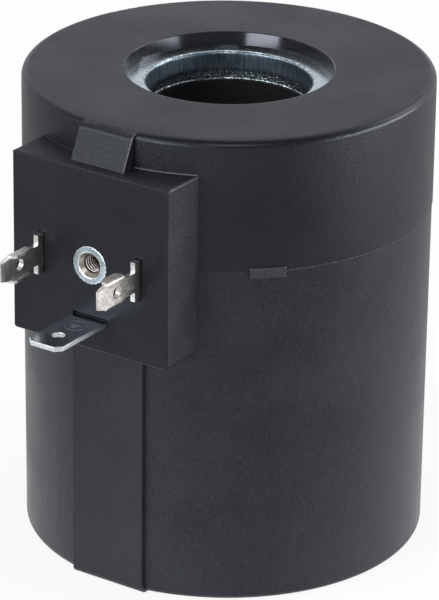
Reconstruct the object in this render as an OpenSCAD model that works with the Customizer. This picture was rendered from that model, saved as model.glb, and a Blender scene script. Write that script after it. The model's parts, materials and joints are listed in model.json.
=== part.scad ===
// Encapsulated solenoid valve coil with a plug-in connector base.
// The coil axis is Z, the bottom face lies at z = 0 and the connector block faces -Y.

/* [Moulded body] */
// Diameter of the round body above the parting line
body_d = 64.5; // [62:0.5:72]
// Height of the body
body_h = 76.5; // [60:0.5:100]
// Radius of the rounded top rim
top_rim_r = 1.2; // [0.6:0.1:1.6]
// Radius of the rounded bottom edge
bottom_rim_r = 1.1; // [0.6:0.1:1.6]
// Depth of the parting line and of the contact tabs below the top face
parting_down = 20.9; // [19.5:0.1:24]
// Step inwards of the wall below the parting line
parting_step = 0.12; // [0.06:0.01:0.3]
// Draft angle of the wall below the parting line
draft_deg = 0.2; // [0.05:0.05:0.5]
// Plastic wall around the flux sleeve
wall = 3; // [2.5:0.1:3.6]
// Plastic thickness over each pole washer
cap_t = 2.1; // [1.8:0.05:3.5]
// Chamfer on the mouth of the top recess
recess_chamfer = 0.1; // [0.05:0.05:0.5]
// Clearance between pieces that are moulded in or pushed together
fit = 0.05; // [0.02:0.01:0.1]

/* [Connector block] */
// Width of the block
block_w = 28.8; // [27:0.1:32]
// Height of the block's top above the contact centre line
block_up = 15.35; // [14.6:0.05:16]
// Depth of the block's bottom below the contact centre line
block_down = 13.75; // [13:0.05:16]
// How far the block's face stands out from the round body
block_out = 4.5; // [3.5:0.05:6]
// Radius of the block's edges
block_edge_r = 0.3; // [0.2:0.05:0.8]
// Radius of the block's two lower corners
block_corner_r = 0.9; // [0.4:0.1:2]
// Plastic skin in front of the terminal carrier
skin = 1.2; // [0.9:0.1:1.6]
// Depth of the shallow pockets around the contact tabs
pocket_depth = 0.3; // [0.2:0.05:0.8]
// Margin of the shallow pockets around the contact tabs
pocket_margin = 0.15; // [0.15:0.05:0.6]
// Height of the open ledge above the earth tab
ledge_up = 0.4; // [0.2:0.05:0.6]
// Depth of the open ledge above the earth tab
ledge_depth = 0.7; // [0.4:0.05:0.8]

/* [Ramp above the block] */
// Width of the ramp
ramp_w = 9.8; // [8:0.2:14]
// How far the ramp's foot stands out from the round body
ramp_out = 2.55; // [1.5:0.05:3.2]
// Radius of the ramp's rounded top
ramp_top_r = 1.5; // [1:0.1:2]
// Depth of the ramp's top below the top face
ramp_drop = 0.2; // [0.1:0.05:0.5]
// How far the centre of the ramp's rounded top lies inside the wall
ramp_inset = 0.95; // [0.6:0.05:1.2]

/* [Strip below the block] */
// Width of the flat strip
strip_w = 13.15; // [10:0.1:18]
// How far the strip's middle stands out from the wall
strip_out = 0.05; // [0.03:0.01:0.6]

/* [Bare plate on the parting line] */
// Length of the plate around the wall
plate_w = 5.7; // [4:0.1:8]
// Height of the plate
plate_h = 1.6; // [1:0.1:3]
// How far the plate stands out from the wall
plate_out = 0.25; // [0.1:0.05:0.6]
// Direction of the plate around the axis, from +X
plate_deg = -44.7; // [-60:0.1:-30]
// Depth of the plate's middle below the parting line
plate_drop = 0.3; // [0:0.1:1]

/* [Magnetic circuit] */
// Bore of the pole washers, for the valve's armature tube
bore_d = 25.8; // [24:0.2:27]
// Diameter of the recess at each end of the bore, at its mouth
recess_d = 32.7; // [32:0.1:36]
// Diameter of the tapered top recess at the washer
recess_foot_d = 31.8; // [30:0.1:31.8]
// Thickness of the pole washers
washer_t = 4.65; // [3.5:0.05:5]
// Rolled edge of the washer's bore on its outer face
washer_edge_r = 0.5; // [0.2:0.05:0.7]
// Thickness of the rolled flux sleeve
sleeve_t = 3; // [2.4:0.1:3.4]
// Gap of the flux sleeve's butt seam
seam_gap = 0.8; // [0.4:0.1:2]
// Width of the sleeve's window behind the terminals
window_w = 23; // [22:0.2:25]
// Depth of the window's lower edge below the contact centre line
window_down = 4; // [3.6:0.1:5]

/* [Bobbin and winding] */
// Radial step from the washers' bore to the bobbin's bore
bore_relief = 0.1; // [0.05:0.05:0.4]
// Chamfer at each end of the bobbin's bore
bobbin_chamfer = 0.25; // [0.1:0.05:0.5]
// Wall of the bobbin's tube
bobbin_wall = 1.4; // [1:0.1:2]
// Thickness of the bobbin's flanges
flange_t = 2; // [1.8:0.1:3]
// Radial gap between the flanges and the flux sleeve
flange_gap = 0.35; // [0.2:0.05:0.6]
// Thickness of the tape around the winding
tape_t = 0.4; // [0.2:0.05:0.6]
// Diameter of the winding wire
wire_d = 0.9; // [0.7:0.05:1]
// Bend radius of the leads' centre line
lead_bend = 0.7; // [0.55:0.05:0.8]
// Wall of the insulating sleeving on the leads
sleeving_t = 0.35; // [0.2:0.05:0.5]
// Radius of the solder joints
solder_r = 1.25; // [1:0.05:1.4]
// Height of the finish lead's exit above the contact centre line
finish_up = 6; // [5:0.2:7.5]

/* [Contact tabs] */
// Distance between the two contact tabs
contact_pitch = 18; // [17.5:0.1:18.5]
// Thickness of the contact tabs
contact_t = 0.8; // [0.6:0.05:1]
// Height of the tabs where they leave the block
contact_base_h = 6.3; // [5.6:0.1:7]
// How far the tabs' shoulders stand out from the block
shoulder_out = 1.4; // [1:0.05:2]
// Height of the neck between the shoulders and the lugs
neck_h = 3.2; // [2.8:0.1:3.2]
// Height of the blade in front of the lugs
blade_h = 3.8; // [3.4:0.1:4.2]
// Reach of the blade's tip from the block's face
contact_reach = 10.35; // [10.1:0.05:12]
// Height of the blade at its tip
tip_h = 2.9; // [2:0.1:3.3]
// Thickness of the blade at its tip
tip_t = 0.4; // [0.2:0.05:0.5]
// Length of the bevel that thins the tip
bevel_run = 1; // [0.5:0.1:1.4]
// Start of the folded lugs, from the block's face
lug_start = 4; // [3.8:0.1:4.2]
// Length of the folded lugs
lug_len = 4.3; // [3.8:0.1:4.4]
// Height over the two folded lugs
lug_h = 4.5; // [4.5:0.1:5.2]
// Width of the folded lugs, from the blade's middle plane
lug_w = 1.2; // [1:0.1:1.8]
// Thickness of the folded lugs
lug_t = 0.45; // [0.3:0.05:0.6]
// Radius of the lugs' free corners
lug_corner_r = 0.9; // [0.4:0.1:1]
// Outer radius of the lugs' fold
fold_r = 0.5; // [0.4:0.05:0.6]
// Diameter of the latch hole in the blade
contact_hole_d = 1.8; // [1.2:0.1:2.2]
// Place of the latch hole, from the block's face
contact_hole_out = 5.95; // [5.4:0.05:6.6]
// Height of the tails that carry the leads
tail_h = 2.5; // [2:0.1:3]

/* [Earth tab] */
// Depth of the earth tab below the contact centre line
earth_drop = 9; // [8.6:0.1:9.4]
// Width of the earth tab
earth_w = 6.3; // [5.8:0.1:6.8]
// Thickness of the earth tab
earth_t = 0.8; // [0.6:0.05:1]
// Reach of the earth tab's tip from the block's face
earth_reach = 11.95; // [11:0.05:14]
// Size of the chamfers on the earth tab's tip
earth_chamfer = 1; // [0.6:0.1:2.2]
// Diameter of the latch hole in the earth tab
earth_hole_d = 2; // [1.5:0.1:2.4]
// Place of the latch hole, from the block's face
earth_hole_out = 7.9; // [7:0.05:9]
// Inner radius of the earth tab's bend
earth_bend = 0.5; // [0.4:0.1:0.8]
// Length of the earth tab's foot on the flux sleeve
foot_len = 7; // [6.5:0.1:8]
// Diameter of the rivet that holds the foot
rivet_d = 2.4; // [2:0.1:3]
// Diameter of the rivet's head
rivet_head_d = 4; // [3.6:0.1:4.6]
// Height of the rivet's head
rivet_head_h = 0.7; // [0.4:0.1:0.9]

/* [Plug screw insert] */
// Outer diameter of the insert
insert_d = 6.2; // [5.6:0.1:6.6]
// Length of the insert
insert_len = 6.5; // [6:0.1:6.8]
// Core diameter of the screw thread
thread_core_d = 2.5; // [2.2:0.1:3]
// Diameter of the countersunk mouth
mouth_d = 4.2; // [3.6:0.1:4.8]
// Plug of metal behind the blind hole
insert_floor = 0.9; // [0.6:0.1:1.2]
// Number of knurl grooves around the insert
knurl_count = 24; // [12:1:28]
// Radius of the knurl grooves
knurl_r = 0.12; // [0.06:0.02:0.3]
// Depth of the retaining groove around the insert
groove_depth = 0.5; // [0.3:0.1:0.7]
// Width of the retaining groove
groove_w = 1.4; // [1:0.1:1.8]

/* [Terminal carrier] */
// Width of the carrier
carrier_w = 24; // [23:0.2:25]
// Height of the carrier's top above the contact centre line
carrier_up = 10; // [9:0.2:11]
// Margin of the carrier below the earth tab
carrier_margin = 2.5; // [2:0.1:3]
// Gap between the earth tab's bend and the carrier's back
carrier_gap = 0.2; // [0.1:0.05:0.4]
// Radius of the carrier's corners
carrier_corner_r = 1; // [0.5:0.1:2]

/* [Hidden] */
$fn = 72;

plastic = "#26272b";
inner_plastic = "#1b1c1f";
carrier_plastic = "#3a3b3f";
zinc_steel = "#aab4bb";
sleeve_steel = "#8d949a";
tinned_metal = "#cfcdc8";
solder_metal = "#b9bcc0";
copper = "#b4683a";
amber_tape = "#b58a3c";
glass_braid = "#d8d2bd";

// Overlap of cutting tools past the faces they open
cut = 1;

body_r = body_d / 2;
parting_z = body_h - parting_down;
lower_r = body_r - parting_step;
foot_r = lower_r - parting_z * tan(draft_deg);
recess_r = recess_d / 2;
recess_foot_r = recess_foot_d / 2;
bore_r = bore_d / 2;

// Radii of the pieces in the body, from the wall inwards
sleeve_r = body_r - wall;
sleeve_bore_r = sleeve_r - sleeve_t;
cavity_r = sleeve_r + fit;
washer_r = sleeve_bore_r - fit;
flange_r = sleeve_bore_r - flange_gap;
tape_bore_r = flange_r - tape_t;
winding_r = tape_bore_r - fit;
bobbin_bore_r = bore_r + bore_relief;
tube_r = bobbin_bore_r + bobbin_wall;

// Heights of the pieces in the body, from the bottom upwards
stack_lo = cap_t;
stack_hi = body_h - cap_t;
bobbin_lo = stack_lo + washer_t;
bobbin_hi = stack_hi - washer_t;
winding_lo = bobbin_lo + flange_t + fit;
winding_hi = bobbin_hi - flange_t - fit;

// Distances of the connector's planes from the axis, towards -Y
face_out = body_r + block_out;
carrier_front = face_out - skin;
foot_out = sleeve_r + fit + earth_t;
bend_out = foot_out + earth_bend;
carrier_back = bend_out + carrier_gap;
block_lo = parting_z - block_down;
block_hi = parting_z + block_up;
earth_z = parting_z - earth_drop;
carrier_lo = earth_z - carrier_margin;
carrier_hi = parting_z + carrier_up;
bend_z = earth_z - earth_t / 2 - earth_bend;
foot_lo = bend_z - foot_len;
rivet_z = bend_z - foot_len / 2;

// Places of the leads and tails at the contact tabs
contact_x = contact_pitch / 2;
tail_top = parting_z + tail_h / 2;
lead_hole_r = wire_d / 2 + fit;
lug_end = face_out + lug_start + lug_len;
lead_side = contact_x + wire_d / 2;
lead_out = sqrt(pow(sleeve_r - wire_d, 2) - pow(lead_side, 2));
tail_end = lead_out - solder_r;
start_out = sqrt(pow(tube_r + wire_d, 2) - pow(contact_x, 2));
slot_z = bobbin_hi - wire_d / 2 - fit;
finish_z = parting_z + finish_up;
finish_out = sqrt(pow(winding_r, 2) - pow(contact_x, 2));
lead_end = tail_top + fit;
sleeving_lo = tail_top + solder_r + fit;

// Helper shapes

// A slab from 0 to len whose two far corners are rounded
module tongue(len, lo, hi, r) {
    translate([0, lo]) square([len - r, hi - lo]);
    translate([0, lo + r]) square([len, hi - lo - 2 * r]);
    for (across = [lo + r, hi - r])
        translate([len - r, across]) circle(r);
}

// A drawing in (outwards, z) made into a prism of the given width along X
module side_prism(width) {
    rotate([90, 0, -90]) linear_extrude(width, center = true) children();
}

// A drawing in (x, z) made into a prism between two distances from the axis
module front_prism(near, far) {
    translate([0, -near, 0]) rotate([90, 0, 0]) linear_extrude(far - near) children();
}

// A drawing in (outwards, across) made into a level slab
module plan_slab(lo, hi) {
    translate([0, 0, lo]) rotate([0, 0, -90]) linear_extrude(hi - lo) children();
}

// A ring of rectangular section
module ring(r_in, r_out, lo, hi) {
    translate([0, 0, lo]) difference() {
        cylinder(r = r_out, h = hi - lo);
        translate([0, 0, -cut]) cylinder(r = r_in, h = hi - lo + 2 * cut);
    }
}

// A box between two distances from the axis, centred on x
module front_box(x, width, near, far, lo, hi) {
    translate([x - width / 2, -far, lo]) cube([width, far - near, hi - lo]);
}

// Moulded body

// Half section of the round body below the parting line, with its drafted wall and rounded foot
module lower_section() {
    centre = foot_r + bottom_rim_r * (tan(draft_deg) - 1 / cos(draft_deg));
    polygon([
        [0, 0], [centre, 0], [centre, bottom_rim_r],
        [centre + bottom_rim_r * cos(draft_deg), bottom_rim_r * (1 - sin(draft_deg))],
        [lower_r, parting_z], [0, parting_z]
    ]);
    translate([centre, bottom_rim_r]) circle(bottom_rim_r);
}

// Half section of the round body above the parting line, with its rounded rim
module upper_section() {
    translate([0, parting_z]) square([body_r, body_h - top_rim_r - parting_z]);
    translate([0, parting_z]) square([body_r - top_rim_r, body_h - parting_z]);
    translate([body_r - top_rim_r, body_h - top_rim_r]) circle(top_rim_r);
}

// Half section of the room inside: sleeve space, plain bottom recess and tapered top recess
module room_section() {
    translate([0, stack_lo]) square([cavity_r, stack_hi - stack_lo]);
    translate([0, -cut]) square([recess_r, stack_lo + 2 * cut]);
    polygon([
        [0, stack_hi - cut], [recess_foot_r, stack_hi - cut], [recess_foot_r, stack_hi],
        [recess_r, body_h - recess_chamfer],
        [recess_r + recess_chamfer + cut, body_h + cut], [0, body_h + cut]
    ]);
}

module connector_block() {
    half = block_w / 2;
    intersection() {
        front_prism(0, face_out + cut)
            union() {
                translate([-half, block_lo + block_corner_r])
                    square([block_w, block_hi - block_lo - block_corner_r - block_edge_r]);
                translate([-half + block_corner_r, block_lo])
                    square([block_w - 2 * block_corner_r, block_down]);
                translate([-half + block_edge_r, parting_z])
                    square([block_w - 2 * block_edge_r, block_up]);
                for (side = [-1, 1]) {
                    translate([side * (half - block_corner_r), block_lo + block_corner_r])
                        circle(block_corner_r);
                    translate([side * (half - block_edge_r), block_hi - block_edge_r])
                        circle(block_edge_r);
                }
            }
        plan_slab(block_lo - cut, block_hi + cut) tongue(face_out, -half, half, block_edge_r);
        side_prism(block_w + 2 * cut) tongue(face_out, block_lo, block_hi, block_edge_r);
    }
}

// Sloping ramp from the rim down to the top of the block, its face tangent to its rounded top
module ramp() {
    centre = [body_r - ramp_inset, body_h - ramp_drop - ramp_top_r];
    foot = [body_r + ramp_out, block_hi];
    span = foot - centre;
    turn = atan2(span[1], span[0]) + acos(ramp_top_r / norm(span));
    touch = centre + ramp_top_r * [cos(turn), sin(turn)];
    root = sleeve_r;
    side_prism(ramp_w) {
        polygon([
            [root, block_hi - cut], [foot[0], block_hi - cut], foot, touch, centre,
            [centre[0], centre[1] + ramp_top_r], [root, centre[1] + ramp_top_r]
        ]);
        translate(centre) circle(ramp_top_r);
    }
}

// Flat strip from the bottom edge up to the block
module strip() {
    reach = lower_r + strip_out;
    side_prism(strip_w) {
        translate([0, bottom_rim_r]) square([reach, block_lo + cut - bottom_rim_r]);
        square([reach - bottom_rim_r, block_lo]);
        translate([reach - bottom_rim_r, bottom_rim_r]) circle(bottom_rim_r);
    }
}

// Bare raised plate that follows the wall across the parting line
module wall_plate() {
    mid = parting_z - plate_drop;
    intersection() {
        ring(cavity_r, body_r + plate_out, mid - plate_h / 2, mid + plate_h / 2);
        rotate([0, 0, plate_deg])
            translate([0, -plate_w / 2, mid - plate_h])
                cube([body_r + plate_out + cut, plate_w, 2 * plate_h]);
    }
}

// Slots, shallow pockets and the open ledge where the tabs and the insert leave the block
module terminal_openings() {
    for (side = [-1, 1]) {
        front_box(side * contact_x, contact_t + 2 * fit, carrier_back, face_out + cut,
            parting_z - contact_base_h / 2 - fit, parting_z + contact_base_h / 2 + fit);
        front_box(side * contact_x, contact_t + 2 * pocket_margin, face_out - pocket_depth, face_out + cut,
            parting_z - contact_base_h / 2 - pocket_margin, parting_z + contact_base_h / 2 + pocket_margin);
    }
    front_box(0, earth_w + 2 * fit, carrier_back, face_out + cut,
        earth_z - earth_t / 2 - fit, earth_z + earth_t / 2 + fit);
    front_box(0, earth_w + 2 * fit, face_out - ledge_depth, face_out + cut,
        earth_z, earth_z + earth_t / 2 + ledge_up);
    translate([0, -carrier_back, parting_z]) rotate([90, 0, 0])
        cylinder(d = insert_d + 2 * fit, h = face_out - carrier_back + cut);
}

// Room for the carrier, the earth tab's foot and the rivet's head
module terminal_room() {
    front_box(0, carrier_w + 2 * fit, 0, carrier_front + fit, carrier_lo - fit, carrier_hi + fit);
    front_box(0, earth_w + 2 * fit, 0, foot_out + fit, foot_lo - fit, carrier_lo + fit);
    translate([0, 0, rivet_z]) rotate([90, 0, 0])
        cylinder(d = rivet_head_d + 2 * fit, h = foot_out + rivet_head_h + fit);
}

module encapsulation() {
    color(plastic) difference() {
        union() {
            rotate_extrude() {
                lower_section();
                upper_section();
            }
            connector_block();
            ramp();
            strip();
            wall_plate();
        }
        rotate_extrude() room_section();
        terminal_room();
        terminal_openings();
    }
}

// Magnetic circuit

// Punched washer whose bore has a rolled edge on the face at z = 0
module pole_washer() {
    rotate_extrude() difference() {
        translate([bore_r, 0]) square([washer_r - bore_r, washer_t]);
        difference() {
            translate([bore_r - cut, -cut]) square([washer_edge_r + cut, washer_edge_r + cut]);
            translate([bore_r + washer_edge_r, washer_edge_r]) circle(washer_edge_r);
        }
    }
}

module top_pole_washer() {
    color(zinc_steel) translate([0, 0, stack_hi]) mirror([0, 0, 1]) pole_washer();
}

module bottom_pole_washer() {
    color(zinc_steel) translate([0, 0, stack_lo]) pole_washer();
}

module flux_sleeve() {
    color(sleeve_steel) difference() {
        ring(sleeve_bore_r, sleeve_r, stack_lo, stack_hi);
        front_box(0, window_w, 0, sleeve_r + cut, parting_z - window_down, bobbin_hi);
        translate([-seam_gap / 2, 0, 0]) cube([seam_gap, sleeve_r + cut, body_h]);
        translate([0, 0, rivet_z]) rotate([90, 0, 0])
            cylinder(d = rivet_d + 2 * fit, h = sleeve_r + cut);
    }
}

// Bobbin, winding and leads

module bobbin() {
    low = bobbin_lo + flange_t;
    high = bobbin_hi - flange_t;
    color(inner_plastic) difference() {
        rotate_extrude() polygon([
            [bobbin_bore_r + bobbin_chamfer, bobbin_lo], [flange_r, bobbin_lo], [flange_r, low],
            [tube_r, low], [tube_r, high], [flange_r, high], [flange_r, bobbin_hi],
            [bobbin_bore_r + bobbin_chamfer, bobbin_hi], [bobbin_bore_r, bobbin_hi - bobbin_chamfer],
            [bobbin_bore_r, bobbin_lo + bobbin_chamfer]
        ]);
        front_box(-contact_x, 2 * lead_hole_r, start_out - lead_hole_r, flange_r + cut,
            high - cut, bobbin_hi + cut);
    }
}

// Wound copper: a solid core with one ridge for each turn of the outer layer
module winding() {
    turns = floor((winding_hi - winding_lo) / wire_d);
    pitch = (winding_hi - winding_lo) / turns;
    ridge = winding_r - wire_d / 2;
    color(copper) rotate_extrude() {
        translate([tube_r + fit, winding_lo])
            square([ridge - tube_r - fit, winding_hi - winding_lo]);
        for (turn = [0 : turns - 1])
            translate([ridge, winding_lo + (turn + 0.5) * pitch]) circle(d = wire_d);
    }
}

module winding_tape() {
    color(amber_tape) difference() {
        ring(tape_bore_r, flange_r, winding_lo, winding_hi);
        front_box(contact_x, 2 * lead_hole_r, 0, flange_r + cut,
            finish_z - lead_hole_r, finish_z + lead_hole_r);
    }
}

// A drawing in (outwards, z) raised into round wire in the plane of one contact tab
module lead_plane(x) {
    translate([x, 0, 0]) rotate([90, 0, -90]) children();
}

// Round rod between two heights, at one distance from the axis
module riser(out, lo, hi, d) {
    translate([out, lo, 0]) rotate([-90, 0, 0]) cylinder(d = d, h = hi - lo);
}

// Round rod between two distances from the axis, at one height
module runner(near, far, z, d) {
    translate([near, z, 0]) rotate([0, 90, 0]) rotate([0, 0, 90]) cylinder(d = d, h = far - near);
}

// Quarter bend of a lead about the given centre
module lead_elbow(centre, turn) {
    translate([centre[0], centre[1], 0]) rotate([0, 0, turn])
        rotate_extrude(angle = 90) translate([lead_bend, 0]) circle(d = wire_d);
}

// The stretch of a lead that runs outwards at height z and turns down to its tail
module lead_outer(near, z) {
    runner(near, lead_out - lead_bend, z, wire_d);
    lead_elbow([lead_out - lead_bend, z - lead_bend], 0);
    riser(lead_out, lead_end, z - lead_bend, wire_d);
}

module start_lead() {
    color(copper) lead_plane(-contact_x) {
        riser(start_out, winding_hi, slot_z - lead_bend, wire_d);
        lead_elbow([start_out + lead_bend, slot_z - lead_bend], 90);
        lead_outer(start_out + lead_bend, slot_z);
    }
}

module finish_lead() {
    color(copper) lead_plane(contact_x) lead_outer(finish_out, finish_z);
}

// Tube on a lead between two heights
module sleeving(x, lo, hi) {
    color(glass_braid) lead_plane(x) difference() {
        riser(lead_out, lo, hi, 2 * (lead_hole_r + sleeving_t));
        riser(lead_out, lo - cut, hi + cut, 2 * lead_hole_r);
    }
}

module start_lead_sleeving() {
    sleeving(-contact_x, sleeving_lo, carrier_hi);
}

module finish_lead_sleeving() {
    sleeving(contact_x, sleeving_lo, finish_z - lead_bend);
}

// Drop of solder over the top of a tail and the end of its lead
module solder_joint(x) {
    color(solder_metal) difference() {
        translate([x, -lead_out, tail_top]) sphere(solder_r);
        front_box(x, contact_t + 2 * fit, lead_out - 2 * solder_r, lead_out + 2 * solder_r,
            tail_top - 2 * solder_r, tail_top + fit);
        lead_plane(x) riser(lead_out, tail_top, tail_top + 2 * solder_r, 2 * lead_hole_r);
    }
}

module start_solder_joint() {
    solder_joint(-contact_x);
}

module finish_solder_joint() {
    solder_joint(contact_x);
}

// Contact tabs

// Outline of a tab seen from the side, above the contact centre line
function tab_half_outline() = [
    [tail_end, tail_h / 2], [carrier_back, tail_h / 2], [carrier_back, contact_base_h / 2],
    [face_out + shoulder_out, contact_base_h / 2], [face_out + shoulder_out, neck_h / 2],
    [lug_end, neck_h / 2], [lug_end, blade_h / 2], [face_out + contact_reach, tip_h / 2]
];

// Flat blank of a tab, thinned to a bevel at its tip
module tab_blank() {
    half = tab_half_outline();
    last = len(half) - 1;
    tip = face_out + contact_reach;
    intersection() {
        side_prism(contact_t)
            polygon([
                for (point = half) [point[0], parting_z + point[1]],
                for (i = [last : -1 : 0]) [half[i][0], parting_z - half[i][1]]
            ]);
        plan_slab(parting_z - contact_base_h, parting_z + contact_base_h)
            polygon([
                [tail_end - cut, -contact_t / 2 - cut], [tail_end - cut, contact_t / 2 + cut],
                [tip - bevel_run, contact_t / 2 + cut], [tip - bevel_run, contact_t / 2],
                [tip, tip_t / 2], [tip, -tip_t / 2], [tip - bevel_run, -contact_t / 2],
                [tip - bevel_run, -contact_t / 2 - cut]
            ]);
    }
}

// Channel of the two thin lugs folded towards -X, with rounded free corners
module tab_lugs() {
    reach = lug_w + contact_t / 2;
    intersection() {
        front_prism(lug_end - lug_len, lug_end) translate([-lug_w, parting_z]) difference() {
            tongue(reach, -lug_h / 2, lug_h / 2, fold_r);
            translate([-cut, lug_t - lug_h / 2])
                square([lug_w - contact_t / 2 + cut, lug_h - 2 * lug_t]);
        }
        translate([contact_t / 2, -lug_end, parting_z - lug_h]) linear_extrude(2 * lug_h)
            mirror([1, 0]) tongue(reach, 0, lug_len, lug_corner_r);
    }
}

module contact_tab() {
    color(tinned_metal) translate([contact_x, 0, 0]) difference() {
        union() {
            tab_blank();
            tab_lugs();
        }
        translate([-contact_t, -face_out - contact_hole_out, parting_z]) rotate([0, 90, 0])
            cylinder(d = contact_hole_d, h = 2 * contact_t);
    }
}

module right_contact_tab() {
    contact_tab();
}

module left_contact_tab() {
    mirror([1, 0, 0]) contact_tab();
}

// Earth tab and its rivet

module earth_blade() {
    half = earth_w / 2;
    tip = face_out + earth_reach;
    plan_slab(earth_z - earth_t / 2, earth_z + earth_t / 2)
        polygon([
            [bend_out, -half], [tip - earth_chamfer, -half], [tip, earth_chamfer - half],
            [tip, half - earth_chamfer], [tip - earth_chamfer, half], [bend_out, half]
        ]);
}

module earth_tab() {
    color(zinc_steel) difference() {
        union() {
            earth_blade();
            translate([-earth_w / 2, -bend_out, bend_z]) rotate([90, 0, 90])
                rotate_extrude(angle = 90) translate([earth_bend, 0]) square([earth_t, earth_w]);
            front_box(0, earth_w, foot_out - earth_t, foot_out, foot_lo, bend_z);
        }
        translate([0, -face_out - earth_hole_out, earth_z - earth_t])
            cylinder(d = earth_hole_d, h = 2 * earth_t);
        translate([0, 0, rivet_z]) rotate([90, 0, 0])
            cylinder(d = rivet_d + 2 * fit, h = foot_out + cut);
    }
}

module earth_rivet() {
    color(zinc_steel) translate([0, -sleeve_bore_r - fit, rivet_z]) rotate([90, 0, 0]) {
        cylinder(d = rivet_d, h = foot_out - sleeve_bore_r);
        translate([0, 0, foot_out - sleeve_bore_r - fit])
            cylinder(d1 = rivet_head_d, d2 = rivet_d, h = rivet_head_h);
    }
}

// Plug screw insert

module screw_insert() {
    insert_r = insert_d / 2;
    core_r = thread_core_d / 2;
    mouth_r = mouth_d / 2;
    sink = mouth_r - core_r;
    color(zinc_steel) translate([0, -face_out + insert_len, parting_z]) rotate([90, 0, 0]) difference() {
        rotate_extrude() difference() {
            square([insert_r, insert_len]);
            translate([0, insert_floor]) square([core_r, insert_len]);
            polygon([
                [0, insert_len - sink], [core_r, insert_len - sink],
                [mouth_r + cut, insert_len + cut], [0, insert_len + cut]
            ]);
            translate([insert_r - groove_depth, (insert_len - groove_w) / 2])
                square([groove_depth + cut, groove_w]);
        }
        for (i = [0 : knurl_count - 1])
            rotate([0, 0, i * 360 / knurl_count]) translate([insert_r, 0, -cut])
                cylinder(r = knurl_r, h = insert_len + 2 * cut);
    }
}

// Terminal carrier

module terminal_carrier() {
    half = carrier_w / 2;
    tall = carrier_hi - carrier_lo;
    color(carrier_plastic) difference() {
        front_prism(carrier_back, carrier_front) translate([-half, carrier_lo]) union() {
            translate([carrier_corner_r, 0]) square([carrier_w - 2 * carrier_corner_r, tall]);
            translate([0, carrier_corner_r]) square([carrier_w, tall - 2 * carrier_corner_r]);
            for (x = [carrier_corner_r, carrier_w - carrier_corner_r])
                for (z = [carrier_corner_r, tall - carrier_corner_r])
                    translate([x, z]) circle(carrier_corner_r);
        }
        for (side = [-1, 1])
            front_box(side * contact_x, contact_t + 2 * fit, carrier_back - cut, carrier_front + cut,
                parting_z - contact_base_h / 2 - fit, parting_z + contact_base_h / 2 + fit);
        front_box(0, earth_w + 2 * fit, carrier_back - cut, carrier_front + cut,
            earth_z - earth_t / 2 - fit, earth_z + earth_t / 2 + fit);
        translate([0, -carrier_back + cut, parting_z]) rotate([90, 0, 0])
            cylinder(d = insert_d + 2 * fit, h = face_out);
    }
}

encapsulation();
top_pole_washer();
bottom_pole_washer();
flux_sleeve();
bobbin();
winding();
winding_tape();
start_lead();
finish_lead();
start_lead_sleeving();
finish_lead_sleeving();
start_solder_joint();
finish_solder_joint();
left_contact_tab();
right_contact_tab();
earth_tab();
earth_rivet();
screw_insert();
terminal_carrier();
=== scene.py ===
import json
import math

import bmesh
import bpy
from mathutils import Matrix, Vector, noise


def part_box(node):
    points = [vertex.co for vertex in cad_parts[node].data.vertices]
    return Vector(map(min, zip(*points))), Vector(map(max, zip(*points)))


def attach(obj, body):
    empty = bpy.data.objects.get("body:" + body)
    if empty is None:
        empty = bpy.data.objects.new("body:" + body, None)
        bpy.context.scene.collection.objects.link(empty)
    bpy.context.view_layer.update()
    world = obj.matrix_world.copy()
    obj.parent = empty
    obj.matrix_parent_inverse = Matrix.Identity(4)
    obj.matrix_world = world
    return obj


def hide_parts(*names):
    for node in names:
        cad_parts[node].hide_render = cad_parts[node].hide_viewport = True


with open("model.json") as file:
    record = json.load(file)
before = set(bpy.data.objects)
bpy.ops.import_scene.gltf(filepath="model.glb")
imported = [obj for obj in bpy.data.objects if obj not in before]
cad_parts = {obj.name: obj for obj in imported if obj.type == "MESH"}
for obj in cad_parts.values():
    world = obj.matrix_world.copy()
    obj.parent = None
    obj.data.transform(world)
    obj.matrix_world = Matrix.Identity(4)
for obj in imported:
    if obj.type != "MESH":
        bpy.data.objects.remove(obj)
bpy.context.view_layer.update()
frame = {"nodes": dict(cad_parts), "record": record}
nodes = frame["nodes"]
mounts = {mount["name"]: mount for mount in frame["record"]["mounts"]}

MM = 0.001

# Camera: its place, its view angles in degrees and its lens on a sensor 36 mm along the long side
CAMERA_PLACE = Vector((332.2, -489.8, 293.4)) * MM
CAMERA_AZIMUTH = 34.25
CAMERA_ELEVATION = 23.42
CAMERA_ROLL = 0.70
CAMERA_LENS = 243.3
CAMERA_SENSOR = 36.0
CAMERA_NEAR = 0.05

# Room in reflections: level direction to its bright back, how dim its front and ceiling are, and where they
# fade, along that direction and upwards
ROOM_BACK = (-0.563, 0.826, 0.0)
ROOM_COLOUR = (0.91, 0.935, 1.0)
FRONT_DIM = 0.22
FRONT_FADE = (-0.5, 0.25)
CEILING_DIM = 0.45
CEILING_FADE = (0.42, 0.75)

# Plain soft light of the room on matt surfaces
SOFT_COLOUR = (0.97, 0.98, 1.0)
SOFT_STRENGTH = 0.3

# Floor: half its side, how far below the part it lies, and the share of glow in what is seen of it
FLOOR_HALF = 4.0
FLOOR_DROP = 0.02 * MM
FLOOR_COLOUR = (0.86, 0.86, 0.87)
FLOOR_GLOW = 0.86

# Painted pool of light on the floor, seen only in reflections: strength of its glow close to the object and
# far off, and where it fades
LIGHT_POOL_NEAR = 1.45
LIGHT_POOL_FAR = 0.72
LIGHT_POOL_FADE = (40 * MM, 150 * MM)

# Softboxes: direction from +X and height in degrees, distance, width and height in metres, power in watts
SOFTBOXES = {
    "key": (-93, 4.5, 1.0, 0.66, 0.12, 5.2),
    "fill": (-114, 25, 1.0, 0.75, 0.42, 5.0),
    "camera": (-54, 37, 1.0, 0.3, 0.25, 2.3),
    "right": (30, 5, 0.8, 0.86, 0.2, 7.4),
    "back": (62, 32, 0.8, 0.4, 0.4, 1.6),
    "top": (124, 62, 0.8, 0.9, 0.64, 1.7),
}

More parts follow.
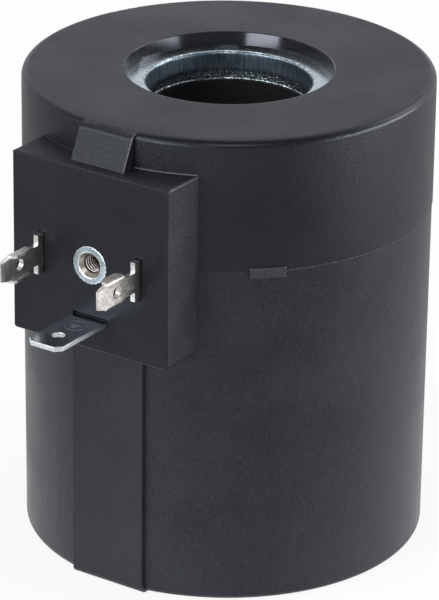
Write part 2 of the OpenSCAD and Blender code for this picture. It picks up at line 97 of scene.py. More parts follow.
# Sizes read from the part
BODY_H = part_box("encapsulation")[1].z
MIDDLE_H = BODY_H / 2
WASHER_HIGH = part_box("top_pole_washer")[1].z
BORE_R = mounts["tube_bore"]["dims"]["r_mm"] * MM
FACE_Y = mounts["connector_plug"]["pos_m"][1]
CONTACT_Z = mounts["connector_plug"]["pos_m"][2]
EARTH_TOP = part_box("earth_tab")[1].z
INSERT_R = (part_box("screw_insert")[1].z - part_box("screw_insert")[0].z) / 2
THREAD_CORE_R = mounts["plug_screw"]["dims"]["r_mm"] * MM

# Sizes of the detailed pieces
WASHER_ROLL = 0.5 * MM
BREAK_DEPTH = 3.3 * MM
INSERT_MOUTH_R = 2.1 * MM
INSERT_RIM = 0.12 * MM
INSERT_TIP_R = 0.02 * MM
THREAD_ROOT_R = 1.5 * MM
THREAD_PITCH = 0.5 * MM
THREAD_DEPTH = 5.6 * MM
KNURL_COUNT = 24
KNURL_DEPTH = 0.055 * MM

# Places and widths that looks and rounds are bound to, and the margins taken there
MOUTH_R = 16.5 * MM
WALL_R = 32.25 * MM
BLOCK_HALF = 14.4 * MM
BLOCK_TOP = 70.95 * MM
RAMP_HALF = 4.9 * MM
RAMP_START_Y = -29 * MM
PLATE_LOW = 54.3 * MM
PLATE_HIGH = 56.3 * MM
PLATE_LEFT = 18.0 * MM
RIM_WIDTH = 1.1 * MM
# Height of the painted highlight along the top of the block's flanks
BROW_HIGHLIGHT_HEIGHT = 0.7 * MM
# Width of the painted highlight along the parting line
SEAM_HIGHLIGHT_WIDTH = 0.2 * MM
FACE_SKIN = 0.15 * MM
# Margin on the block's face kept free of the pale edges of wear and painted highlight
FACE_WITHOUT_PALE_EDGES = 0.6 * MM
BORE_SKIN = 0.45 * MM
CONE_R = INSERT_MOUTH_R + 0.02 * MM
THREAD_R = THREAD_ROOT_R + 0.03 * MM
LUG_OUT = 3.5 * MM
MARGIN = 0.1 * MM
TOUCH = 0.01 * MM

# Fades between looks, as the length where a look starts and the one where it is full
# Pale edges of wear and painted highlight fade in towards the right side
WEAR_AND_HIGHLIGHT_SIDE = (-4 * MM, 2 * MM)
# The painted highlight along the parting line fades in to the right of the wall plate
SEAM_HIGHLIGHT_SIDE = (PLATE_LEFT + 2 * MM, PLATE_LEFT + 11 * MM)
DRAWN_DEPTH = (0.1 * WASHER_ROLL, 0.8 * WASHER_ROLL)
# The drawn land goes from painted shade near the washer's face to its paler tone deeper in the bore
DRAWN_SHADE_DEPTH = (0.5 * MM, 2.4 * MM)
TORN_DEPTH = (BREAK_DEPTH - 0.9 * MM, BREAK_DEPTH + 0.4 * MM)
CONE_DEPTH = (0.0, 0.12 * MM)
THREAD_START = (0.55 * MM, 0.8 * MM)
CREST_R = (THREAD_CORE_R + 0.11 * MM, THREAD_CORE_R + 0.03 * MM)
# Crests fade into painted shade deeper in the thread
CREST_SHADE_DEPTH = (1.2 * MM, 3.6 * MM)
# Radii where the painted highlights on the mouth's lip and the rim's lip start and are full
MOUTH_LIP_HIGHLIGHT_R = (INSERT_MOUTH_R + 0.12 * MM, INSERT_MOUTH_R + 0.04 * MM)
RIM_LIP_HIGHLIGHT_R = (INSERT_R - 0.22 * MM, INSERT_R - 0.12 * MM)

# The same for the upward part of the form's normal
LEVEL_UP = (0.8, 0.95)
RAMP_UP = (0.97, 0.9)
# Edges facing up take pale wear and painted highlight
WEAR_AND_HIGHLIGHT_UP = (0.1, 0.5)
BEND_UP = (0.3, 0.8)

# Axes as a point on the axis and the directions across it
COIL_AXIS = ((0, 0, 0), (1, 1, 0))
SCREW_AXIS = ((0, FACE_Y, CONTACT_Z), (1, 0, 1))

# Range that most values of a noise lie in
NOISE_LOW = 0.3
NOISE_HIGH = 0.7

# Darkest and palest tone of the moulding's grain in each zone, and the tone of pale edges that are partly
# wear and partly painted highlight
SMOOTH_TONES = ((0.0012, 0.0016, 0.0026), (0.006, 0.007, 0.0095))
LEDGE_TONES = ((0.0045, 0.005, 0.0065), (0.0205, 0.0215, 0.025))
LOWER_TONES = ((0.0028, 0.0033, 0.0048), (0.0138, 0.0151, 0.0189))
FLANK_TONES = ((0.0035, 0.004, 0.005), (0.025, 0.026, 0.0295))
RECESS_TONES = ((0.007, 0.0075, 0.009), (0.014, 0.0148, 0.017))
PLATE_TONES = ((0.010, 0.011, 0.013), (0.036, 0.038, 0.042))
WEAR_AND_HIGHLIGHT_TONE = (0.2, 0.206, 0.22)


class Tree:
    """An emptied node tree, with one short method for each kind of node that is used here."""

    def __init__(self, owner):
        owner.use_nodes = True
        self.tree = owner.node_tree
        self.tree.nodes.clear()

    def node(self, kind, **settings):
        made = self.tree.nodes.new(kind)
        for name, value in settings.items():
            setattr(made, name, value)
        return made

    def feed(self, socket, value):
        """Links a socket to another one or sets its value; colours come without their alpha."""
        if isinstance(value, bpy.types.NodeSocket):
            self.tree.links.new(value, socket)
        elif socket.type == "RGBA":
            socket.default_value = (*value, 1)
        else:
            socket.default_value = value

    def fill(self, made, **values):
        """Feeds inputs of a node by their names, with underscores for spaces."""
        for name, value in values.items():
            self.feed(made.inputs[name.replace("_", " ")], value)

    def maths(self, operation, first, second=0.0, clamp=False):
        made = self.node("ShaderNodeMath", operation=operation, use_clamp=clamp)
        self.feed(made.inputs[0], first)
        self.feed(made.inputs[1], second)
        return made.outputs[0]

    def times(self, first, *others):
        for other in others:
            first = self.maths("MULTIPLY", first, other)
        return first

    def above(self, value, limit):
        return self.maths("GREATER_THAN", value, limit)

    def under(self, value, limit):
        return self.maths("LESS_THAN", value, limit)

    def outside(self, mask):
        return self.maths("SUBTRACT", 1.0, mask)

    def spread(self, value, low, high, to_low=0.0, to_high=1.0):
        """Smooth step from one value to another as the input goes from low to high."""
        made = self.node("ShaderNodeMapRange", interpolation_type="SMOOTHSTEP")
        self.fill(made, Value=value, From_Min=low, From_Max=high, To_Min=to_low, To_Max=to_high)
        return made.outputs["Result"]

    def mix(self, factor, first, second):
        made = self.node("ShaderNodeMix", data_type="FLOAT")
        self.fill(made, Factor=factor, A=first, B=second)
        return made.outputs["Result"]

    def vector(self, operation, first, second=(0, 0, 0)):
        made = self.node("ShaderNodeVectorMath", operation=operation)
        self.feed(made.inputs[0], first)
        self.feed(made.inputs[1], second)
        return made.outputs["Value" if operation in ("LENGTH", "DOT_PRODUCT") else "Vector"]

    def split(self, vector):
        """The X, Y and Z parts of a vector."""
        made = self.node("ShaderNodeSeparateXYZ")
        self.feed(made.inputs[0], vector)
        return tuple(made.outputs)

    def seen_by(self, *kinds):
        """1 for rays of the named kinds, 0 for all others."""
        path = self.node("ShaderNodeLightPath")
        seen = path.outputs[kinds[0]]
        for kind in kinds[1:]:
            seen = self.maths("MAXIMUM", seen, path.outputs[kind])
        return seen

    def source(self, kind, colour, strength):
        """Emission of a surface or a background."""
        made = self.node(kind)
        self.fill(made, Color=colour, Strength=strength)
        return made.outputs[0]

    def blend(self, factor, first, second):
        """Mix of two surfaces or backgrounds."""
        made = self.node("ShaderNodeMixShader")
        self.feed(made.inputs["Fac"], factor)
        self.feed(made.inputs[1], first)
        self.feed(made.inputs[2], second)
        return made.outputs[0]

    def output(self, kind, surface):
        self.feed(self.node(kind).inputs["Surface"], surface)


class Shader(Tree):
    """Node tree of one of the part's materials, whose patterns follow the place on the object."""

    def __init__(self, name):
        self.material = bpy.data.materials.new(name)
        super().__init__(self.material)
        self.place = self.node("ShaderNodeTexCoord").outputs["Object"]

    def noise(self, per_mm, detail=2.0, rough=0.5, stretch=(1, 1, 1)):
        """Noise of so many features in a millimetre, drawn out along an axis whose stretch is below 1."""
        scaled = self.node("ShaderNodeMapping")
        self.fill(scaled, Vector=self.place, Scale=tuple(per_mm / MM * part for part in stretch))
        made = self.node("ShaderNodeTexNoise")
        self.fill(made, Vector=scaled.outputs["Vector"], Scale=1.0, Detail=detail, Roughness=rough)
        return made.outputs["Fac"]

    def colour(self, factor, first, second):
        made = self.node("ShaderNodeMix", data_type="RGBA")
        self.fill(made, Factor=factor, A=first, B=second)
        return made.outputs["Result"]

    def mottle(self, value, dark, pale, low=NOISE_LOW, high=NOISE_HIGH):
        """Colour that goes from dark to pale with a noise."""
        return self.colour(self.spread(value, low, high), dark, pale)

    def vary(self, value, least, most):
        """Number that goes from least to most with a noise."""
        return self.spread(value, NOISE_LOW, NOISE_HIGH, least, most)

    def around_axis(self, origin, across):
        """Distance from an axis, and the X, Y and Z of the place as seen from the axis' own point."""
        moved = self.vector("SUBTRACT", self.place, origin)
        distance = self.vector("LENGTH", self.vector("MULTIPLY", moved, across))
        return distance, self.split(moved)

    def facing(self):
        """The X, Y and Z parts of the form's own normal."""
        return self.split(self.node("ShaderNodeNewGeometry").outputs["True Normal"])

    def edges(self, width_mm, low, high):
        """1 along the outer edges of the form and 0 away from them."""
        made = self.node("ShaderNodeAmbientOcclusion", samples=8, inside=True, only_local=True)
        self.fill(made, Distance=width_mm * MM)
        return self.spread(made.outputs["AO"], high, low)

    def bump(self, height, depth_mm, strength=1.0, normal=None):
        made = self.node("ShaderNodeBump")
        self.fill(made, Height=height, Distance=depth_mm * MM, Strength=strength)
        if normal is not None:
            self.fill(made, Normal=normal)
        return made.outputs["Normal"]

    def finish(self, **values):
        surface = self.node("ShaderNodeBsdfPrincipled")
        self.fill(surface, **values)
        self.output("ShaderNodeOutputMaterial", surface.outputs["BSDF"])
        return self.material


def moulding_material():
    """Black moulding with a fine grain. Pale edges to the right and facing up are partly wear and partly
    painted highlight, and a painted highlight runs along the parting line on the right. The block's face and
    the end recesses are smoother; the wall below the parting line, flanks, ledges and the wall plate are
    paler."""
    s = Shader("black_moulding")
    grain = s.noise(2.7, detail=4.0, rough=0.7)
    patches = s.noise(0.09, detail=3.0)
    radius, (x, y, height) = s.around_axis(*COIL_AXIS)
    across = s.maths("ABSOLUTE", x)
    upward = s.facing()[2]

    inner = s.under(radius, MOUTH_R)
    face = s.under(y, FACE_Y + FACE_SKIN)
    beyond = s.above(radius, WALL_R + MARGIN)
    plate = s.times(beyond, s.above(height, PLATE_LOW), s.under(height, PLATE_HIGH), s.above(x, PLATE_LEFT))
    flank = s.times(beyond, s.above(across, BLOCK_HALF - MARGIN))
    upper = s.times(s.maths("MAXIMUM", face, s.above(height, CONTACT_Z)), s.outside(flank))
    rim = s.times(s.above(height, BODY_H - RIM_WIDTH), s.above(radius, WALL_R - RIM_WIDTH))
    ramp = s.times(s.under(across, RAMP_HALF - MARGIN), s.spread(upward, *RAMP_UP), s.under(y, RAMP_START_Y))
    ledge = s.maths("MAXIMUM", ramp, s.times(beyond, s.spread(upward, *LEVEL_UP)))
    ledge = s.times(ledge, s.above(height, BLOCK_TOP - MARGIN))

    # Painted highlight along the top edges of the block's flanks, and pale edges facing up and to the right
    # that are partly wear and partly painted highlight
    brow_highlight = s.times(flank, s.above(height, BLOCK_TOP - BROW_HIGHLIGHT_HEIGHT))
    lit_and_exposed = s.maths("MAXIMUM", s.spread(upward, *WEAR_AND_HIGHLIGHT_UP, 0.0, 0.5), brow_highlight)
    lit_and_exposed = s.times(lit_and_exposed, s.above(y, FACE_Y + FACE_WITHOUT_PALE_EDGES), s.spread(x, *WEAR_AND_HIGHLIGHT_SIDE))
    wear_and_highlight = s.times(s.edges(0.5, 0.6, 0.92), lit_and_exposed, s.spread(grain, 0.25, 0.6, 0.4, 1.0))
    # Painted highlight along the parting line on the right, mixed into the pale edges
    seam_highlight = s.times(s.above(height, CONTACT_Z - SEAM_HIGHLIGHT_WIDTH), s.under(height, CONTACT_Z), s.outside(beyond),
                   s.spread(x, *SEAM_HIGHLIGHT_SIDE))
    wear_and_highlight = s.maths("MAXIMUM", wear_and_highlight, s.times(seam_highlight, s.spread(grain, 0.4, 0.62, 0.0, 0.36)))

    tone = s.spread(s.maths("ADD", s.times(grain, 0.7), s.times(patches, 0.3)), 0.36, 0.64)
    fine = s.colour(ledge, s.colour(tone, *SMOOTH_TONES), s.colour(tone, *LEDGE_TONES))
    coarse = s.colour(flank, s.colour(tone, *LOWER_TONES), s.colour(tone, *FLANK_TONES))
    walls = s.colour(inner, s.colour(upper, coarse, fine), s.colour(tone, *RECESS_TONES))
    base = s.colour(wear_and_highlight, s.colour(plate, walls, s.mottle(grain, *PLATE_TONES)), WEAR_AND_HIGHLIGHT_TONE)

    outer = s.mix(rim, s.vary(patches, 0.40, 0.48), 0.33)
    rough = s.mix(inner, s.mix(face, outer, 0.38), 0.16)
    relief = s.mix(face, s.mix(flank, s.mix(rim, 1.0, 0.3), 0.6), 0.3)
    normal = s.bump(grain, 0.07, s.mix(inner, relief, 0.02))
    return s.finish(Base_Color=base, Roughness=rough, Normal=normal, Specular_IOR_Level=0.3,
                    Specular_Tint=(0.785, 0.83, 0.975))


def zinc_material():
    """Bright zinc plating with a bluish cast and fine mottling."""
    s = Shader("zinc_steel")
    grain = s.noise(3.0, detail=3.0, rough=0.6)
    cloud = s.noise(0.35, detail=3.0)
    base = s.mottle(cloud, (0.56, 0.63, 0.66), (0.70, 0.75, 0.77))
    rough = s.vary(grain, 0.12, 0.22)
    normal = s.bump(grain, 0.008, 0.4)
    return s.finish(Base_Color=base, Metallic=1.0, Roughness=rough, Normal=normal)


def blade_material():
    """Bright zinc on a punched blade: flat sides like a mirror and dull sheared edges."""
    s = Shader("blade_zinc")
    grain = s.noise(3.0, detail=3.0, rough=0.6)
    cloud = s.noise(0.35, detail=3.0)
    edge = s.under(s.maths("ABSOLUTE", s.facing()[2]), 0.8)
    flat = s.mottle(cloud, (0.50, 0.60, 0.64), (0.66, 0.73, 0.76))
    sheared = s.mottle(grain, (0.46, 0.50, 0.52), (0.68, 0.71, 0.72))
    base = s.colour(edge, flat, sheared)
    rough = s.mix(edge, s.vary(grain, 0.19, 0.25), 0.44)
    normal = s.bump(grain, 0.004, 0.5)
    return s.finish(Base_Color=base, Metallic=1.0, Roughness=rough, Normal=normal)


def washer_material():
    """Zinc on punched steel: drawn streaks in the bore, darker near the washer's face as painted shade, and a
    coarse torn zone at its inner end.
    """
    s = Shader("punched_zinc")
    grain = s.noise(3.0, detail=3.0, rough=0.6)
    cloud = s.noise(0.8, detail=4.0, rough=0.6)
    glints = s.noise(1.5, detail=3.0, rough=0.6)
    streaks = s.noise(2.6, detail=4.0, rough=0.65, stretch=(1, 1, 0.16))
    crumbs = s.noise(3.4, detail=2.0, rough=0.6)
    radius, (_, _, height) = s.around_axis(*COIL_AXIS)
    from_middle = s.maths("ABSOLUTE", s.maths("SUBTRACT", height, MIDDLE_H))
    depth = s.maths("SUBTRACT", WASHER_HIGH - MIDDLE_H, from_middle)
    wall = s.under(radius, BORE_R + BORE_SKIN)
    below = s.times(wall, s.spread(depth, *DRAWN_DEPTH))
    torn = s.times(wall, s.spread(depth, *TORN_DEPTH))
    flat = s.mottle(cloud, (0.38, 0.44, 0.47), (0.56, 0.62, 0.64))
    rolled = s.mottle(glints, (0.24, 0.29, 0.31), (0.68, 0.73, 0.74), 0.47, 0.66)
    # Painted shade: the drawn land is darker near the washer's face and paler deeper in the bore
    drawn_painted_shade = s.mottle(streaks, (0.075, 0.105, 0.135), (0.20, 0.26, 0.32))
    drawn_low = s.mottle(streaks, (0.15, 0.21, 0.27), (0.38, 0.48, 0.57))
    drawn = s.colour(s.spread(depth, *DRAWN_SHADE_DEPTH), drawn_painted_shade, drawn_low)
    crumbled = s.mottle(crumbs, (0.13, 0.18, 0.21), (0.86, 0.94, 0.97), 0.46, 0.64)
    base = s.colour(torn, s.colour(below, s.colour(wall, flat, rolled), drawn), crumbled)
    rough = s.mix(torn, s.mix(below, s.vary(grain, 0.16, 0.28), 0.42), 0.34)
    lines = s.bump(s.mix(below, grain, streaks), 0.018, 0.6)
    normal = s.bump(crumbs, 0.15, torn, lines)
    return s.finish(Base_Color=base, Metallic=1.0, Roughness=rough, Normal=normal)


def insert_material():
    """Zinc on a turned insert: pale ring with painted highlights on its lips, brownish countersink, and a
    thread painted dark as shade in its grooves and further in, with pale crests, partly wear and partly
    painted highlight.
    """
    s = Shader("turned_zinc")
    grain = s.noise(3.0, detail=3.0, rough=0.6)
    cloud = s.noise(0.8, detail=3.0)
    radius, (_, depth, _) = s.around_axis(*SCREW_AXIS)
    sunk = s.times(s.under(radius, CONE_R), s.spread(depth, *CONE_DEPTH))
    threaded = s.times(s.under(radius, THREAD_R), s.spread(depth, *THREAD_START))
    # The thread is painted dark as shade in its grooves and further in; its crests are pale, partly wear and
    # partly painted highlight
    crest = s.times(s.spread(radius, *CREST_R), s.spread(depth, *CREST_SHADE_DEPTH, 1.0, 0.15))
    # Painted highlights along the lip of the countersink and the lip of the rim
    lip_highlights = s.maths("ADD", s.spread(radius, *MOUTH_LIP_HIGHLIGHT_R), s.spread(radius, *RIM_LIP_HIGHLIGHT_R), clamp=True)
    ring = s.mottle(cloud, (0.28, 0.36, 0.42), (0.52, 0.61, 0.66))
    ring = s.colour(lip_highlights, ring, (0.90, 0.93, 0.93))
    cone = s.mottle(cloud, (0.26, 0.25, 0.22), (0.42, 0.40, 0.35))
    screw = s.colour(crest, (0.035, 0.03, 0.03), (0.90, 0.86, 0.83))
    base = s.colour(threaded, s.colour(sunk, ring, cone), screw)
    rough = s.mix(sunk, s.vary(grain, 0.22, 0.36), 0.42)
    normal = s.bump(grain, 0.012, 0.5)
    return s.finish(Base_Color=base, Metallic=1.0, Roughness=rough, Normal=normal)


def tin_material():
    """Warm white tin plating, spotted, with faint rolling lines along the blades and dull bends."""
    s = Shader("tinned_brass")
    lines = s.noise(5.0, detail=3.0, stretch=(1, 0.08, 1))
    cloud = s.noise(0.6, detail=3.0)
    spots = s.noise(2.8, detail=3.0, rough=0.65)
    tone = s.maths("ADD", s.times(cloud, 0.4), s.times(spots, 0.6))
    base = s.mottle(tone, (0.50, 0.475, 0.45), (0.83, 0.80, 0.765), 0.36, 0.64)
    ahead = s.under(s.split(s.place)[1], FACE_Y - LUG_OUT)
    bent = s.times(s.spread(s.facing()[2], *BEND_UP), ahead)
    rough = s.mix(bent, s.vary(spots, 0.28, 0.38), 0.5)
    normal = s.bump(lines, 0.002, 0.3)
    return s.finish(Base_Color=base, Metallic=1.0, Roughness=rough, Normal=normal)


def plain_plastic(name, dark, pale, least_rough, most_rough):
    """Moulded plastic of the hidden pieces, with flow marks and a fine grain."""
    s = Shader(name)
    grain = s.noise(2.5, detail=3.0, rough=0.6)
    flow = s.noise(0.15, detail=2.0, stretch=(1, 1, 0.4))
    base = s.colour(flow, dark, pale)
    rough = s.vary(grain, least_rough, most_rough)
    normal = s.bump(grain, 0.02, 0.6)
    return s.finish(Base_Color=base, Roughness=rough, Normal=normal)


def plain_metal(name, dark, pale, least_rough, most_rough, stretch=(1, 1, 1)):
    """Metal of the hidden pieces, with fine lines where the stretch differs from one axis to another."""
    s = Shader(name)
    lines = s.noise(3.0, detail=3.0, stretch=stretch)
    cloud = s.noise(0.2, detail=2.0)
    base = s.mottle(cloud, dark, pale)
    rough = s.vary(lines, least_rough, most_rough)
    normal = s.bump(lines, 0.015, 0.5)
    return s.finish(Base_Color=base, Metallic=1.0, Roughness=rough, Normal=normal)


def braid_material():
    """Woven glass sleeving: two sets of fine strands that cross."""
    s = Shader("glass_braid")
    bands = []
    for lean in (45, -45):
        turned = s.node("ShaderNodeMapping")
        s.fill(turned, Vector=s.place, Rotation=(0, math.radians(lean), 0))
        wave = s.node("ShaderNodeTexWave", bands_direction="X")
        s.fill(wave, Vector=turned.outputs["Vector"], Scale=1.1 / MM)
        bands.append(wave.outputs["Fac"])
    weave = s.maths("MAXIMUM", bands[0], bands[1])
    base = s.colour(weave, (0.42, 0.38, 0.27), (0.74, 0.70, 0.56))
    normal = s.bump(weave, 0.06)
    return s.finish(Base_Color=base, Roughness=0.8, Normal=normal)


def tape_material():
    """Amber film tape, faintly streaked around the coil."""
    s = Shader("amber_tape")
    streaks = s.noise(1.2, detail=3.0, stretch=(0.1, 0.1, 1))
    base = s.colour(streaks, (0.34, 0.17, 0.03), (0.58, 0.34, 0.09))
    rough = s.vary(streaks, 0.16, 0.3)
    normal = s.bump(streaks, 0.02, 0.4)
    return s.finish(Base_Color=base, Roughness=rough, Normal=normal, Coat_Weight=0.3)


MATERIALS = {
    "black_moulding": moulding_material(),
    "zinc_steel": zinc_material(),
    "blade_zinc": blade_material(),
    "punched_zinc": washer_material(),
    "turned_zinc": insert_material(),
    "tinned_brass": tin_material(),
    "bobbin_plastic": plain_plastic("bobbin_plastic", (0.003, 0.003, 0.0035), (0.007, 0.007, 0.008),
                                    least_rough=0.42, most_rough=0.6),
    "carrier_plastic": plain_plastic("carrier_plastic", (0.03, 0.031, 0.034), (0.06, 0.061, 0.066),
                                     least_rough=0.4, most_rough=0.55),
    "sleeve_steel": plain_metal("sleeve_steel", (0.30, 0.32, 0.34), (0.46, 0.48, 0.5),
                                least_rough=0.34, most_rough=0.5, stretch=(0.1, 0.1, 1)),
    "solder": plain_metal("solder", (0.55, 0.56, 0.57), (0.70, 0.71, 0.72),
                          least_rough=0.18, most_rough=0.3),
    "copper_wire": plain_metal("copper_wire", (0.55, 0.17, 0.06), (0.72, 0.28, 0.12),
                               least_rough=0.2, most_rough=0.32, stretch=(0.2, 0.2, 1)),
    "amber_tape": tape_material(),
    "glass_braid": braid_material(),
}


def dress_nodes():
    """Every CAD node takes the material of its own slot in the record."""
    for part in frame["record"]["subparts"]:
        slots = nodes[part["node"]].material_slots
        for slot in slots:
            slot.material = MATERIALS[part["material_slot"]]


def add_piece(name, mesh, material, slot, *replaced, crease=38):
    """Puts a mesh in the scene as a piece of the part, in place of the named CAD nodes."""
    mesh.materials.append(MATERIALS[material])
    mesh.shade_smooth()
    mesh.set_sharp_from_angle(angle=math.radians(crease))
    piece = bpy.data.objects.new(name, mesh)
    bpy.context.scene.collection.objects.link(piece)
    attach(piece, "root")
    if replaced:
        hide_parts(*replaced)


def grid_mesh(name, rings, looped):
    """Quads between closed rings of points; the last ring meets the first one, or both ends get caps."""
    around = len(rings[0])
    faces = []
    for row in range(len(rings) if looped else len(rings) - 1):
        start = row * around
        after = (row + 1) % len(rings) * around
        for i in range(around):
            j = (i + 1) % around
            faces.append((start + i, start + j, after + j, after + i))
    if not looped:
        faces.append(range(around))
        faces.append(range((len(rings) - 1) * around, len(rings) * around))
    work = bmesh.new()
    made = [work.verts.new(point) for ring in rings for point in ring]
    for face in faces:
        work.faces.new([made[i] for i in face])
    bmesh.ops.recalc_face_normals(work, faces=work.faces)
    mesh = bpy.data.meshes.new(name)
    work.to_mesh(mesh)
    work.free()
    return mesh


def washer_profile(angle, outer_r, thick):
    """Section of a punched washer at one angle, as distance from the axis and depth below its outer face."""
    corner = 0.15 * MM
    ragged_depth = 0.22 * MM
    land_wobble = 0.004 * MM
    tear_start = 0.05 * MM
    tear_taper = 0.08 * MM
    tear_rough = 0.08 * MM
    tear_rise = 0.2 * MM
    burr_gap = 0.08 * MM
    burr_depth = 0.05 * MM
    burr_foot = 0.7 * MM
    roll_steps = 8
    land_steps = 4
    tear_steps = 10
    turn = Vector((math.cos(angle), math.sin(angle), 0))
    ragged = noise.noise(turn * 9) + 0.6 * noise.noise(turn * 31)
    land_end = BREAK_DEPTH + ragged_depth * ragged
    land_r = BORE_R + land_wobble * noise.noise(turn * 160)
    section = [(outer_r, thick - corner), (outer_r, corner), (outer_r - corner, 0.0),
               (BORE_R + 3 * WASHER_ROLL, 0.0)]
    for i in range(roll_steps + 1):
        bend = math.radians(90 * i / roll_steps)
        section.append((BORE_R + WASHER_ROLL * (1 - math.sin(bend)), WASHER_ROLL * (1 - math.cos(bend))))
    for i in range(1, land_steps + 1):
        section.append((land_r, WASHER_ROLL + (land_end - WASHER_ROLL) * i / land_steps))
    for i in range(1, tear_steps + 1):
        share = i / tear_steps
        depth = land_end + (thick - land_end) * share
        tear = noise.noise(Vector((turn.x * 60, turn.y * 60, depth / MM * 4)))
        tear_r = BORE_R + tear_start + tear_taper * share + tear_rough * tear
        section.append((tear_r, depth - tear_rise * share))
    burr = max(0.0, 0.6 + noise.noise(turn * 40))
    section.append((BORE_R + burr_gap * (1 - min(1.0, burr)), thick - burr_depth))
    section.append((BORE_R + burr_foot, thick))
    section.append((outer_r - corner, thick))
    return section


def make_washer(node):
    """Punched washer with a rolled edge, a drawn land and a torn zone in its bore."""
    low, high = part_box(node)
    thick = high.z - low.z
    upper = low.z > MIDDLE_H
    steps = 512
    angles = [2 * math.pi * i / steps for i in range(steps)]
    sections = [washer_profile(angle, high.x, thick) for angle in angles]
    rings = []
    for row in range(len(sections[0])):
        ring = []
        for angle, section in zip(angles, sections):
            radius, depth = section[row]
            level = high.z - depth if upper else low.z + depth
            ring.append((radius * math.cos(angle), radius * math.sin(angle), level))
        rings.append(ring)
    add_piece(node + "_detail", grid_mesh(node + "_detail", rings, True), "punched_zinc", "zinc_steel", node)


def insert_profile(length):
    """Outside of the insert, back to mouth: radius, depth behind its rim and share of the knurl."""
    groove_half = 0.7 * MM
    groove_r = INSERT_R - 0.5 * MM
    groove_back = length / 2 + groove_half
    groove_front = length / 2 - groove_half
    return ((INSERT_TIP_R, length, 0), (INSERT_R - INSERT_RIM, length, 0), (INSERT_R, length - INSERT_RIM, 1),
            (INSERT_R, groove_back, 1), (groove_r, groove_back, 0), (groove_r, groove_front, 0),
            (INSERT_R, groove_front, 1), (INSERT_R, 2 * INSERT_RIM, 1),
            (INSERT_R - 0.3 * INSERT_RIM, 0.7 * INSERT_RIM, 1),
            (INSERT_R - 0.8 * INSERT_RIM, 0.15 * INSERT_RIM, 0.6), (INSERT_R - 1.3 * INSERT_RIM, 0, 0),
            (INSERT_MOUTH_R + 0.06 * MM, 0, 0), (INSERT_MOUTH_R, 0.03 * MM, 0))


def make_insert():
    """Knurled insert with a chamfered rim, a countersunk mouth and a cut screw thread."""
    low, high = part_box("screw_insert")
    centre_z = (high.z + low.z) / 2
    steps_per_knurl = 8
    rows_per_pitch = 10
    crest_flat = 0.15
    flank_slope = 1.35
    cone_slope = 0.9
    around = KNURL_COUNT * steps_per_knurl
    turns = [2 * math.pi * i / around for i in range(around)]

    def ring(radii, depth):
        return [(radius * math.cos(turn), low.y + depth, centre_z + radius * math.sin(turn))
                for radius, turn in zip(radii, turns)]

    rings = []
    for radius, depth, knurled in insert_profile(high.y - low.y):
        cuts = [knurled * KNURL_DEPTH * (0.5 + 0.5 * math.cos(KNURL_COUNT * turn)) ** 2 for turn in turns]
        rings.append(ring([radius - cut for cut in cuts], depth))
    rows = int((THREAD_DEPTH - 0.1 * MM) / (THREAD_PITCH / rows_per_pitch))
    for row in range(1, rows):
        depth = row * THREAD_PITCH / rows_per_pitch
        radii = []
        for turn in turns:
            phase = (depth / THREAD_PITCH - turn / (2 * math.pi)) % 1.0
            flank = min(1.0, max(0.0, abs(2 * phase - 1) * flank_slope - crest_flat))
            cut_r = THREAD_CORE_R + (THREAD_ROOT_R - THREAD_CORE_R) * flank
            radii.append(max(cut_r, INSERT_MOUTH_R - cone_slope * depth))
        rings.append(ring(radii, depth))
    rings.append(ring([0.9 * THREAD_CORE_R] * around, THREAD_DEPTH))
    rings.append(ring([INSERT_TIP_R] * around, THREAD_DEPTH))
    mesh = grid_mesh("screw_insert_detail", rings, False)
    add_piece("screw_insert_detail", mesh, "turned_zinc", "zinc_steel", "screw_insert", crease=24)


def even_normals(work, rounds):
    """Corner normals in mesh order: faces keep the form's own slope, and rounds blend between them."""
    nearly = math.cos(math.radians(25))
    normals = []
    for face in work.faces:
        for loop in face.loops:
            kin = [other for other in loop.vert.link_loops if other.face not in rounds]
            if kin:
                lead = max((other.face.normal for other in kin), key=face.normal.dot)
                kin = [other for other in kin if other.face.normal.dot(lead) > nearly]
            else:
                kin = loop.vert.link_loops
            total = Vector()
            for other in kin:
                total += other.face.normal * other.calc_angle()
            normals.append(total.normalized())
    return normals


def rounded_copy(node, material, slot, widths, choose):
    """Copy of a CAD node with small rounds on outer edges; choose gives an edge's width, or 0 for none."""
    source = nodes[node]
    sharp = math.radians(30)
    flat = math.radians(1)
    same_place = 0.0005 * MM
    work = bmesh.new()
    work.from_mesh(source.data)
    work.transform(source.matrix_world)
    bmesh.ops.remove_doubles(work, verts=work.verts, dist=same_place)
    bmesh.ops.dissolve_limit(work, angle_limit=flat, verts=work.verts, edges=work.edges)
    rounds = set()
    for width in widths:
        outer = [edge for edge in work.edges if len(edge.link_faces) == 2 and edge.is_convex
                 and edge.calc_face_angle() > sharp and choose(edge) == width]
        made = bmesh.ops.bevel(work, geom=outer, offset=width, segments=3, profile=0.5, affect="EDGES",
                               clamp_overlap=True)
        rounds.update(made["faces"])
    work.normal_update()
    normals = even_normals(work, rounds)
    mesh = bpy.data.meshes.new(node + "_detail")
    work.to_mesh(mesh)
    work.free()
    add_piece(node + "_detail", mesh, material, slot, node)
    mesh.normals_split_custom_set(normals)


def make_tabs():
    """Contact tabs and earth tab with the small rounds of punched edges."""
    thin = 0.09 * MM
    for node in ("left_contact_tab", "right_contact_tab"):
        rounded_copy(node, "tinned_brass", "tinned_brass", (thin,), lambda edge: thin)
    wide = 0.14 * MM
    rounded_copy("earth_tab", "blade_zinc", "zinc_steel", (wide,), lambda edge: wide)


